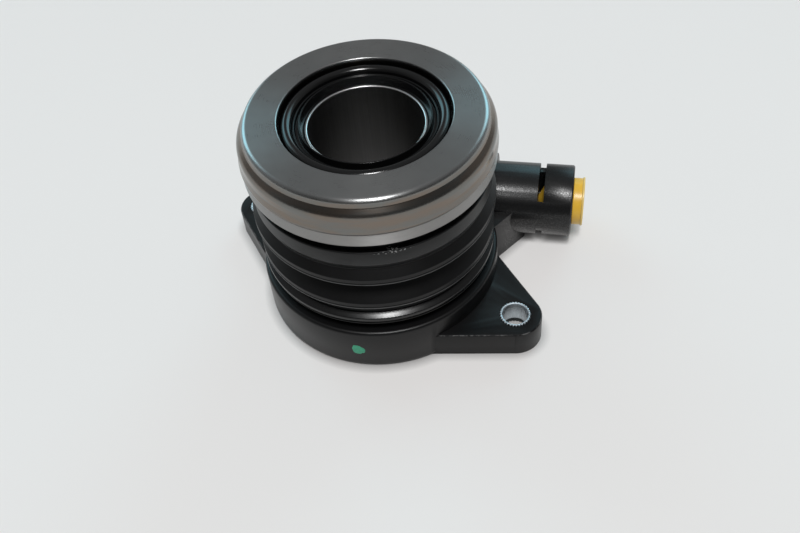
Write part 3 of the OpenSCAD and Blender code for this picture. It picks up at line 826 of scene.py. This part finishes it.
class SLAVE_OT_boot(bpy.types.Operator):
    """Mould the bellows and the ring around its foot"""
    bl_idname = "slave.boot"
    bl_label = "Boot"

    def execute(self, context):
        s = sizes("boot")
        foot, top, crest = *ends("boot"), radius("boot")
        low_crest, valley, cuff = crest - s.low_inset, crest - s.depth, crest - s.cuff_inset
        z_low = foot + s.foot + s.rise
        z_low_end = z_low + s.crest_band
        z_high = z_low_end + s.fold
        z_high_end = z_high + s.crest_band
        z_cuff, z_lip, neck = top - s.cuff, foot + s.lip_height, s.neck + s.wall
        outside = [
            (neck, z_lip), (neck, foot + s.foot), (low_crest, z_low), (low_crest, z_low_end),
            (valley, z_low_end + s.fold / 2), (crest, z_high), (crest, z_high_end),
            (crest - s.depth / 2, (z_high_end + z_cuff) / 2), (cuff, z_cuff)]
        inside = [(r - s.wall, z) for r, z in reversed(outside)]
        crest_feet = (2, 5)
        profile = outline(smooth_rounds([
            (s.neck, foot), (s.foot_lip, foot), (s.foot_lip, z_lip), *self.parted(outside, crest_feet, s),
            (cuff, top), (s.grip, top), (s.grip, top - s.wall), (cuff - s.wall, top - s.wall), *inside],
            s.soft_edge))
        # Pale lines along the crests' and cuff's edges: partly wear, partly a painted edge highlight.
        edges, weights = np.array([(low_crest, z_low), (crest, z_high), (cuff, z_cuff)]), (1.0, 0.8, 0.3)
        core, fade = 0.08 * MM, 0.2 * MM
        away = np.linalg.norm(profile[:, None] - edges, axis=-1)
        rub = (np.clip(1 + (core - away) / fade, 0, 1) * weights).max(axis=1)
        boot = make_piece("boot_bellows", revolve(profile, 288), rub=rub)
        # The specks on the cuff are painted glints of the lamp.
        finish = rubber_finish("boot_rubber", 0.34, glint_specks=(s.glint_specks_at, top - s.glint_specks_below))
        settle(boot, finish, "boot_rubber", "housing", "boot")
        keep = 1 - stroke() / (top - foot)
        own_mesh(boot)
        self.ring()
        return {"FINISHED"}

    def parted(self, points, feet, s):
        """The outside's points, with a fine parting groove above the foot of each crest's band."""
        runs = []
        for i, (r, z) in enumerate(points):
            runs.append((r, z))
            if i in feet:
                low = z + s.groove_rise
                runs += [(r, low), (r - s.groove / 2, low + s.groove / 2), (r, low + s.groove)]
        return runs

    def ring(self):
        """Ring that grips the boot: a round back, and a nearly flat face that looks up and out."""
        low, high, wide = *ends("boot_ring"), radius("boot_ring")
        half = (high - low) / 2
        inner = sizes("boot").neck + sizes("boot").wall + SEAT
        back = arc((wide - half, low + half), half, -90, 20, 18)
        start, share = np.array([(inner, high)]), np.linspace(1, 0, 12)[:, None]
        rise, up_and_out = 0.03 * MM, np.array([(0.47, 0.88)])
        face = start + share * (back[-1] - start) + rise * np.sin(math.pi * share) * up_and_out
        profile = np.vstack([[(inner, low)], back[:-1], face])
        turn_piece("boot_ring_round", profile, 288, gloss_finish("ring_plastic", 0.20), "ring_plastic",
                   "housing", "boot_ring")


class SLAVE_OT_housing(bpy.types.Operator):
    """Finish the moulded housing and break its edges"""
    bl_idname = "slave.housing"
    bl_label = "Housing"

    def execute(self, context):
        weld, flat, sharp = 1e-6, math.radians(0.4), math.radians(28)
        mesh = frame["nodes"]["housing"].data.copy()
        work = bmesh.new()
        work.from_mesh(mesh)
        bmesh.ops.remove_doubles(work, verts=work.verts, dist=weld)
        bmesh.ops.dissolve_limit(work, angle_limit=flat, verts=work.verts, edges=work.edges)
        work.to_mesh(mesh)
        work.free()
        mesh.name = "housing_moulded"
        mesh.polygons.foreach_set("use_smooth", np.ones(len(mesh.polygons), bool))
        piece = bpy.data.objects.new("housing_moulded", mesh)
        context.scene.collection.objects.link(piece)
        edge = piece.modifiers.new("broken_edges", "BEVEL")
        edge.width = 0.25 * MM
        edge.segments = 3
        edge.limit_method = "ANGLE"
        edge.angle_limit = sharp
        edge.harden_normals = True
        settle(piece, housing_finish(), "housing_plastic", "housing", "housing")
        return {"FINISHED"}


class SLAVE_OT_fittings(bpy.types.Operator):
    """Add the bolt bushes, the transport plug and the paint mark"""
    bl_idname = "slave.fittings"
    bl_label = "Fittings"

    def execute(self, context):
        zinc = zinc_finish()
        for node in ("front_bolt_bush", "rear_bolt_bush"):
            self.bush(node, zinc)
        self.plug()
        self.mark()
        return {"FINISHED"}

    def bush(self, node, finish):
        """Rolled sleeve: a strip's section turned round to its seam, its outside cut into fine teeth."""
        s = sizes("fittings")
        low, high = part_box(node)
        outer = (high.x - low.x) / 2
        centre = np.array([(low.x + high.x) / 2, (low.y + high.y) / 2, 0])
        bore, thin = mount_size("bolts", "hole_r_mm"), outer - s.bush_wall
        foot = low.z + s.bush_foot
        profile = outline(smooth_rounds([
            (thin, low.z), (outer, low.z), (outer, high.z), (bore, high.z), (bore, foot),
            (thin, foot - (thin - bore) / 2)], s.bush_round))
        gap = s.seam / outer / 2
        grid = revolve(profile, 340, centre, "Z", s.seam_at + gap, s.seam_at + TURN - gap)
        turn = np.linspace(0, TURN, len(grid))[:, None]
        share = np.clip((profile[:, 0] - bore) / (outer - bore), 0, 1) ** 3
        cut = s.tooth * share * (0.5 - 0.5 * np.cos(turn * s.teeth))
        away = grid - centre
        away[..., 2] = 0
        grid = grid - away / np.linalg.norm(away, axis=-1, keepdims=True) * cut[..., None]
        piece = make_piece(node + "_rolled", grid, close_rows=False, caps=True)
        settle(piece, finish, "zinc_steel", "housing", node)

    def plug(self):
        """Head with a thin rim and a dished end, on a stem whose blunt nose ends under the slot."""
        s = sizes("fittings")
        low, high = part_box("transport_plug")
        mouth = high.x - s.head
        tip = low.x - mouth
        head_r = (high.y - low.y) / 2
        side, rim, dish_r, dish = head_r - s.channel, s.head - s.rim, head_r - 2 * s.rim, s.head - s.dish
        profile = outline([
            (0, tip, 0), (s.nose, tip, 2 * SOFT), (s.stem, tip + s.taper, 2 * SOFT), (s.stem, 0, CRISP),
            (side, 0, SOFT), (side, rim, CRISP), (head_r, rim, CRISP), (head_r, s.head, SOFT),
            (dish_r, s.head, SOFT), (dish_r, dish, SOFT), (0, dish, 0)], closed=False)
        centre = (mouth, (low.y + high.y) / 2, (low.z + high.z) / 2)
        piece = make_piece("transport_plug_moulded", revolve(profile, 192, centre, "X"), close_columns=False)
        settle(piece, plug_finish(), "plug_plastic", "housing", "transport_plug")

    def mark(self):
        """A dab on the drum's wall: a leaning disc whose edge wanders with its angle, domed by its film."""
        s = sizes("fittings")
        drum_r, lean, sunk = drum_radius(), 0.27, 0.25
        share = np.linspace(1, 0, 14)[None, :]
        turn = np.linspace(0, TURN, 72, endpoint=False)[:, None]
        edge = 1 + 0.10 * np.sin(2 * turn + 0.6) + 0.07 * np.sin(3 * turn + 2.1) + 0.04 * np.sin(7 * turn)
        up = s.mark_tall * edge * share * np.sin(turn)
        across = s.mark_wide * edge * share * np.cos(turn) - lean * up
        r = drum_r + s.mark_film * (np.sqrt(1 - share ** 2) - sunk) + 0 * turn
        at = s.mark_at + across / drum_r
        grid = np.stack([r * np.cos(at), r * np.sin(at), s.mark_height + up], axis=-1)
        piece = make_piece("paint_mark", grid, close_columns=False)
        settle(piece, mark_finish(), "housing_plastic", "housing")


class SLAVE_OT_inside(bpy.types.Operator):
    """Wind the preload spring and finish the hidden pieces"""
    bl_idname = "slave.inside"
    bl_label = "Inside"

    def execute(self, context):
        steel = spring_finish()
        self.spring(steel)
        for node in ("lower_spring_seat", "upper_spring_seat", "centring_washer"):
            dress(node, steel)
        seal = rubber_finish("seal_rubber", 0.32)
        for node in ("tube_o_ring", "piston_seal", "bearing_seal"):
            dress(node, seal)
        dress("piston", moulded_finish("piston_moulding", "moulding", 0.36, 2600, 0.2))
        dress("ball_cage", moulded_finish("cage_moulding", "cage", 0.42, 1800, 0.25))
        dress("bearing_balls", ball_finish())
        return {"FINISHED"}

    def spring(self, finish):
        """A wire's circle carried along a helix whose rise slows towards both ends."""
        s = sizes("fittings")
        foot, top = ends("preload_spring")
        wire = s.wire / 2
        coil = radius("preload_spring") - wire
        along = np.linspace(0, 1, s.turns * 72)[:, None]
        turn = TURN * s.turns * along
        slowing = 0.6
        rise = along - slowing * np.sin(TURN * along) / TURN
        section = np.linspace(0, TURN, 20, endpoint=False)[None, :]
        r = coil + wire * np.cos(section) + 0 * along
        z = foot + wire + (top - foot - s.wire) * rise + wire * np.sin(section)
        grid = np.stack([r * np.cos(turn), r * np.sin(turn), z], axis=-1)
        piece = make_piece("preload_spring_wound", grid, close_rows=False, caps=True)
        settle(piece, finish, "spring_steel", "housing", "preload_spring")
        seat = ends("lower_spring_seat")[1]
        keep = 1 - stroke() / (ends("upper_spring_seat")[0] - seat)
        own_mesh(piece)


class SLAVE_OT_stage(bpy.types.Operator):
    """Set the floor, the lamp, the sky and the camera"""
    bl_idname = "slave.stage"
    bl_label = "Stage"

    def execute(self, context):
        self.floor()
        self.lamp(context)
        self.sky(context)
        self.camera(context)
        context.scene.view_settings.view_transform = "Standard"
        return {"FINISHED"}

    def floor(self):
        """A flat square under the part. Its glow, for camera and mirrors only, fades near the part by ambient
        occlusion: a painted contact shade on the floor.
        """
        s = sizes("studio")
        side = np.linspace(-s.floor_reach, s.floor_reach, 2)
        x, y = np.meshgrid(side, side)
        floor = make_piece("floor", np.stack([x, y, 0 * x], axis=-1), close_rows=False, close_columns=False)
        if floor.data.polygons[0].normal.z < 0:
            floor.data.flip_normals()
        finish = Finish("floor_board", Emission_Strength=1.0)
        cloud = finish.noise(finish.place(), scale=9)
        path = finish.node("LightPath").socket.node.outputs
        rays = [Wire(finish, path[f"Is {kind} Ray"]) for kind in ("Camera", "Glossy", "Transmission")]
        seen, black = rays[0] + rays[1] + rays[2], (0, 0, 0, 1)
        board = finish.tones(cloud, "floor", 0.985, 1.015)
        # Painted shade: the floor's glow fades near the part.
        clear_of_painted_shade = finish.node("AmbientOcclusion", {"samples": 12}, {"Distance": 3 * MM}, "AO") ** 2
        glow = finish.mix(seen * clear_of_painted_shade, black, rgba("floor", s.floor_glow))
        finish.feed(finish.shader.inputs["Emission Color"], glow)
        floor.data.materials.append(finish.paint(finish.mix(seen * s.floor_glow, board, black), 0.75))

    def lamp(self, context):
        """A soft panel above the camera, facing the object."""
        s = sizes("studio")
        data = bpy.data.lights.new("panel", "AREA")
        data.shape = "RECTANGLE"
        data.size, data.size_y, data.energy = s.lamp_wide, s.lamp_deep, s.lamp_power
        lamp = bpy.data.objects.new("panel", data)
        context.scene.collection.objects.link(lamp)
        level_reach = s.lamp_away * math.cos(s.lamp_rise)
        lamp.location = (level_reach * math.cos(s.lamp_at), level_reach * math.sin(s.lamp_at),
                         s.lamp_away * math.sin(s.lamp_rise))
        lamp.rotation_euler = (-lamp.location).to_track_quat("-Z", "Y").to_euler()

    def sky(self, context):
        """A room, dark behind the camera and grey beyond the object, with a bluish window on either side.

        A direction's parts are near, towards the lamp's side, beside, across it, and z.
        """
        s = sizes("studio")
        world = bpy.data.worlds.new("room")
        context.scene.world = world
        world.use_nodes = True
        nodes = Nodes(world.node_tree)
        x, y, z = nodes.split(nodes.node("TexCoord", None, None, "Generated"))
        near = x * math.cos(s.lamp_at) + y * math.sin(s.lamp_at)
        beside = x * math.sin(s.lamp_at) - y * math.cos(s.lamp_at)
        to_window = near * math.cos(s.window_at) + nodes.math("ABSOLUTE", beside) * math.sin(s.window_at)
        to_window = to_window / (near * near + beside * beside) ** 0.5
        sill, head = nodes.band(z, 0.05, 0.25), nodes.band(z, 0.55, 0.75)
        window = nodes.band(to_window, 0.94, 0.985) * sill * (1 - head)
        room = 0.08 + 0.15 * nodes.band(0 - near, -0.6, 0.3) + 0.05 * (z * z) + s.window_light * window
        tint = nodes.mix(window, (1, 1, 1, 1), rgba("window"))
        light = nodes.node("Background", None, {"Color": tint, "Strength": room})
        output = world.node_tree.nodes.new("ShaderNodeOutputWorld")
        nodes.feed(output.inputs["Surface"], light)

    def camera(self, context):
        """Turns the camera by yaw, pitch and roll from looking along +Y."""
        s = sizes("studio")
        data = bpy.data.cameras.new("camera")
        data.lens, data.sensor_width = s.focal / MM, 36
        data.clip_start, data.clip_end = 0.005, 20
        yaw, pitch, roll = ((math.cos(turn), math.sin(turn)) for turn in (s.yaw, s.pitch, s.roll))
        ahead = np.array([yaw[1] * pitch[0], yaw[0] * pitch[0], -pitch[1]])
        right = np.array([yaw[0], -yaw[1], 0])
        down = np.cross(ahead, right)
        right, down = roll[0] * right + roll[1] * down, roll[0] * down - roll[1] * right
        camera = bpy.data.objects.new("camera", data)
        context.scene.collection.objects.link(camera)
        turn = Matrix(np.column_stack([right, -down, -ahead]).tolist()).to_4x4()
        turn.translation = (s.camera_x, -s.camera_back, s.camera_up)
        camera.matrix_world = turn
        context.scene.camera = camera


class SLAVE_PT_panel(bpy.types.Panel):
    """Lists the pieces and their sizes in the sidebar"""
    bl_idname = "SLAVE_PT_panel"
    bl_label = "Slave cylinder"
    bl_space_type = "VIEW_3D"
    bl_region_type = "UI"
    bl_category = "Slave cylinder"

    def draw(self, context):
        for operator in OPERATORS:
            self.layout.operator(operator.bl_idname)
        for name, group in GROUPS.items():
            box = self.layout.box()
            for key in group.__annotations__:
                box.prop(sizes(name), key)


GROUPS = {"bearing": BearingSizes, "boot": BootSizes, "fittings": FittingSizes, "colours": Colours,
          "studio": Studio}
OPERATORS = (SLAVE_OT_stage, SLAVE_OT_bearing, SLAVE_OT_bore, SLAVE_OT_boot, SLAVE_OT_housing,
             SLAVE_OT_fittings, SLAVE_OT_inside)
CLASSES = (*GROUPS.values(), *OPERATORS, SLAVE_PT_panel)


def register():
    """Registers the classes and hangs the groups on the scene."""
    for cls in CLASSES:
        bpy.utils.register_class(cls)
    for name, group in GROUPS.items():
        setattr(bpy.types.Scene, "slave_" + name, bpy.props.PointerProperty(type=group))


def unregister():
    """Takes the groups and the classes away again."""
    for name in GROUPS:
        delattr(bpy.types.Scene, "slave_" + name)
    for cls in reversed(CLASSES):
        bpy.utils.unregister_class(cls)


def main():
    """Makes every piece in order."""
    register()
    for operator in OPERATORS:
        group, name = operator.bl_idname.split(".")
        getattr(getattr(bpy.ops, group), name)()


if __name__ == "__main__":
    main()
